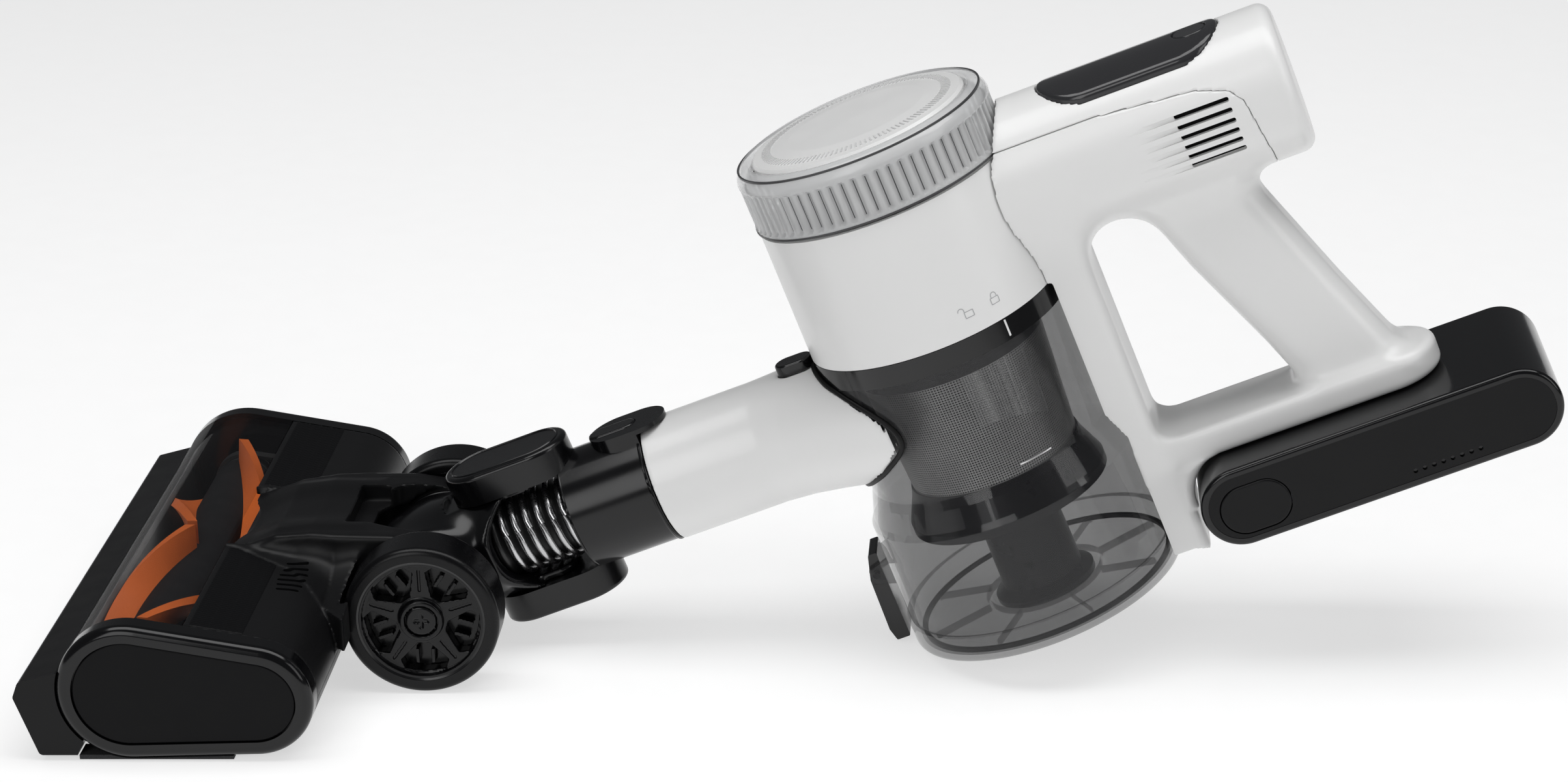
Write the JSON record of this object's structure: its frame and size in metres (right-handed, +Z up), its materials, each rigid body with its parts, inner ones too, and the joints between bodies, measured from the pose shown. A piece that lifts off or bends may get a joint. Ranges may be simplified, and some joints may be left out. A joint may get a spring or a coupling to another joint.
{
  "type": "cordless stick vacuum",
  "caption": "Cordless stick vacuum in handheld form: powered brush head on a swivel neck, clear cyclone bin, motor unit with loop handle and slide-off battery.",
  "frame": {"origin": "on the floor, below the middle of the object's box", "axes": "+X from the floor head towards the battery, +Y to the far side, +Z up"},
  "size_m": [0.617, 0.245, 0.2751],
  "materials": {
    "white_shell": "satin gloss moulded plastic",
    "head_shell": "fine matt texture",
    "head_gloss": "high gloss",
    "head_matt": "fine matt texture",
    "window": "clear smoked",
    "neck_black": "satin gloss",
    "key_black": "high gloss",
    "ring_black": "high gloss",
    "cup_smoke": "clear smoked",
    "ring_clear": "clear, fluted inside",
    "shroud_dark": "satin",
    "mesh_steel": "fine etched mesh",
    "seal_rubber": "matt",
    "hose_black": "ribbed",
    "pin_steel": "bright",
    "brush_core": "plush pile",
    "bristle_orange": "dense bristles",
    "pulley_dark": "moulded",
    "belt_rubber": "matt",
    "bearing_steel": "ground",
    "motor_can": "zinc plated",
    "fan_motor": "cast",
    "wheel_hub": "satin gloss",
    "wheel_tyre": "soft, satin",
    "sole_felt": "felt",
    "panel_grey": "high gloss",
    "board_green": "solder mask",
    "filter_white": "pleated paper",
    "battery_gloss": "high gloss",
    "battery_matt": "fine matt texture",
    "cell_metal": "wrapped cells; light metal stands in for their mean density",
    "contact_brass": "plated"
  },
  "bodies": {
    "floor_head": {"upper_housing": "head_shell", "lower_housing": "head_shell", "brush_window": "window", "end_cap_near": "head_gloss", "end_cap_far": "head_gloss", "end_panels": "head_matt", "front_bumper": "head_shell", "sole_strips": "sole_felt", "brush_bearings": "bearing_steel", "brush_motor": "motor_can", "drive_belt": "belt_rubber", "duct_hose": "hose_black", "wheel_axles": "pin_steel"},
    "brush_roll": {"brush_core": "brush_core", "brush_strips": "bristle_orange", "driven_pulley": "pulley_dark"},
    "motor_rotor": {"drive_pulley": "pulley_dark"},
    "wheel_near": {"wheel_hub_near": "wheel_hub", "wheel_tyre_near": "wheel_tyre"},
    "wheel_far": {"wheel_hub_far": "wheel_hub", "wheel_tyre_far": "wheel_tyre"},
    "elbow": {"lower_neck": "neck_black", "neck_hose": "hose_black"},
    "upper_neck": {"neck_socket": "neck_black", "ear_covers": "neck_black", "swivel_pins": "pin_steel"},
    "head_button": {"socket_button": "key_black"},
    "dust_bin": {"nozzle": "white_shell", "nozzle_seal": "seal_rubber", "dust_cup": "cup_smoke", "cup_ring": "ring_black", "bin_pins": "pin_steel"},
    "bin_button": {"nozzle_button": "key_black"},
    "lid": {"cup_lid": "cup_smoke", "lid_seal": "seal_rubber"},
    "latch": {"lid_latch": "key_black"},
    "seal_ring": {"bin_seal": "seal_rubber"},
    "motor_unit": {"cyclone_body": "white_shell", "shroud_frame": "shroud_dark", "mesh_screen": "mesh_steel", "inner_tube": "shroud_dark", "housing_near": "white_shell", "housing_far": "white_shell", "housing_screws": "pin_steel", "top_cover": "white_shell", "control_panel": "panel_grey", "suction_motor": "fan_motor", "control_board": "board_green"},
    "fan_rotor": {"motor_shaft": "pin_steel", "impeller": "fan_motor"},
    "filter_cap": {"filter_ring": "ring_clear"},
    "filter_unit": {"filter_disc": "white_shell", "filter_element": "filter_white"},
    "power_key": {"power_button": "panel_grey"},
    "battery_pack": {"battery_case": "battery_gloss", "battery_panels": "battery_matt", "battery_cells": "cell_metal", "battery_contacts": "contact_brass"},
    "battery_key_near": {"battery_button_near": "battery_matt"},
    "battery_key_far": {"battery_button_far": "battery_matt"}
  },
  "joints": [
    {"name": "brush_spin", "type": "hinge", "parent": "floor_head", "child": "brush_roll", "pos_m": [-0.26315, 0, 0.0275], "axis": [0, 1, 0], "continuous": true},
    {"name": "brush_motor_spin", "type": "hinge", "parent": "floor_head", "child": "motor_rotor", "pos_m": [-0.21315, 0, 0.026], "axis": [0, 1, 0], "continuous": true},
    {"name": "wheel_near_spin", "type": "hinge", "parent": "floor_head", "child": "wheel_near", "pos_m": [-0.15765, 0, 0.032], "axis": [0, 1, 0], "continuous": true},
    {"name": "wheel_far_spin", "type": "hinge", "parent": "floor_head", "child": "wheel_far", "pos_m": [-0.15765, 0, 0.032], "axis": [0, 1, 0], "continuous": true},
    {"name": "neck_pitch", "type": "hinge", "parent": "floor_head", "child": "elbow", "pos_m": [-0.15765, 0, 0.032], "axis": [0, -1, 0], "range_deg": [-14, 62]},
    {"name": "neck_swivel", "type": "hinge", "parent": "elbow", "child": "upper_neck", "pos_m": [-0.1154, 0, 0.05053], "axis": [-0.3567, 0, 0.9342], "range_deg": [-45, 45]},
    {"name": "head_button_press", "type": "slide", "parent": "upper_neck", "child": "head_button", "axis": [0.3567, 0, -0.9342], "range_m": [0, 0.0018], "stiffness_N_per_m": 900, "springref_m": -0.001},
    {"name": "head_release", "type": "slide", "parent": "upper_neck", "child": "dust_bin", "axis": [0.9342, 0, 0.3567], "range_m": [0, 0.05]},
    {"name": "bin_button_press", "type": "slide", "parent": "dust_bin", "child": "bin_button", "axis": [0.3567, 0, -0.9342], "range_m": [0, 0.0018], "stiffness_N_per_m": 900, "springref_m": -0.001},
    {"name": "lid_hinge", "type": "hinge", "parent": "dust_bin", "child": "lid", "pos_m": [0.1581, 0, 0.04632], "axis": [0, -1, 0], "range_deg": [0, 85]},
    {"name": "latch_hinge", "type": "hinge", "parent": "dust_bin", "child": "latch", "pos_m": [0.02701, 0, 0.03137], "axis": [0, 1, 0], "range_deg": [0, 8], "stiffness_Nm_per_rad": 0.4, "springref_deg": -5.73},
    {"name": "bin_lift", "type": "slide", "parent": "dust_bin", "child": "seal_ring", "axis": [-0.3567, 0, 0.9342], "range_m": [0, 0.13]},
    {"name": "bin_twist", "type": "hinge", "parent": "seal_ring", "child": "motor_unit", "pos_m": [0.0465, 0, 0.16084], "axis": [-0.3567, 0, 0.9342], "range_deg": [0, 13]},
    {"name": "cap_twist", "type": "hinge", "parent": "motor_unit", "child": "filter_cap", "pos_m": [0.02866, 0, 0.20755], "axis": [-0.3567, 0, 0.9342], "range_deg": [0, 30]},
    {"name": "filter_lift", "type": "slide", "parent": "filter_cap", "child": "filter_unit", "axis": [-0.3567, 0, 0.9342], "range_m": [0, 0.075]},
    {"name": "fan_spin", "type": "hinge", "parent": "motor_unit", "child": "fan_rotor", "pos_m": [0.12039, 0, 0.21796], "axis": [0.9342, 0, 0.3567], "continuous": true},
    {"name": "power_press", "type": "slide", "parent": "motor_unit", "child": "power_key", "axis": [0.3567, 0, -0.9342], "range_m": [0, 0.0012], "stiffness_N_per_m": 700, "springref_m": -0.001},
    {"name": "battery_slide", "type": "slide", "parent": "motor_unit", "child": "battery_pack", "axis": [0.9342, 0, 0.3567], "range_m": [0, 0.1]},
    {"name": "battery_key_near_press", "type": "slide", "parent": "battery_pack", "child": "battery_key_near", "axis": [0, 1, 0], "range_m": [0, 0.0015], "stiffness_N_per_m": 800, "springref_m": -0.001},
    {"name": "battery_key_far_press", "type": "slide", "parent": "battery_pack", "child": "battery_key_far", "axis": [0, -1, 0], "range_m": [0, 0.0015], "stiffness_N_per_m": 800, "springref_m": -0.001}
  ],
  "couplings": [
    {"joint": "brush_motor_spin", "follows": "brush_spin", "ratio": 2}
  ]
}
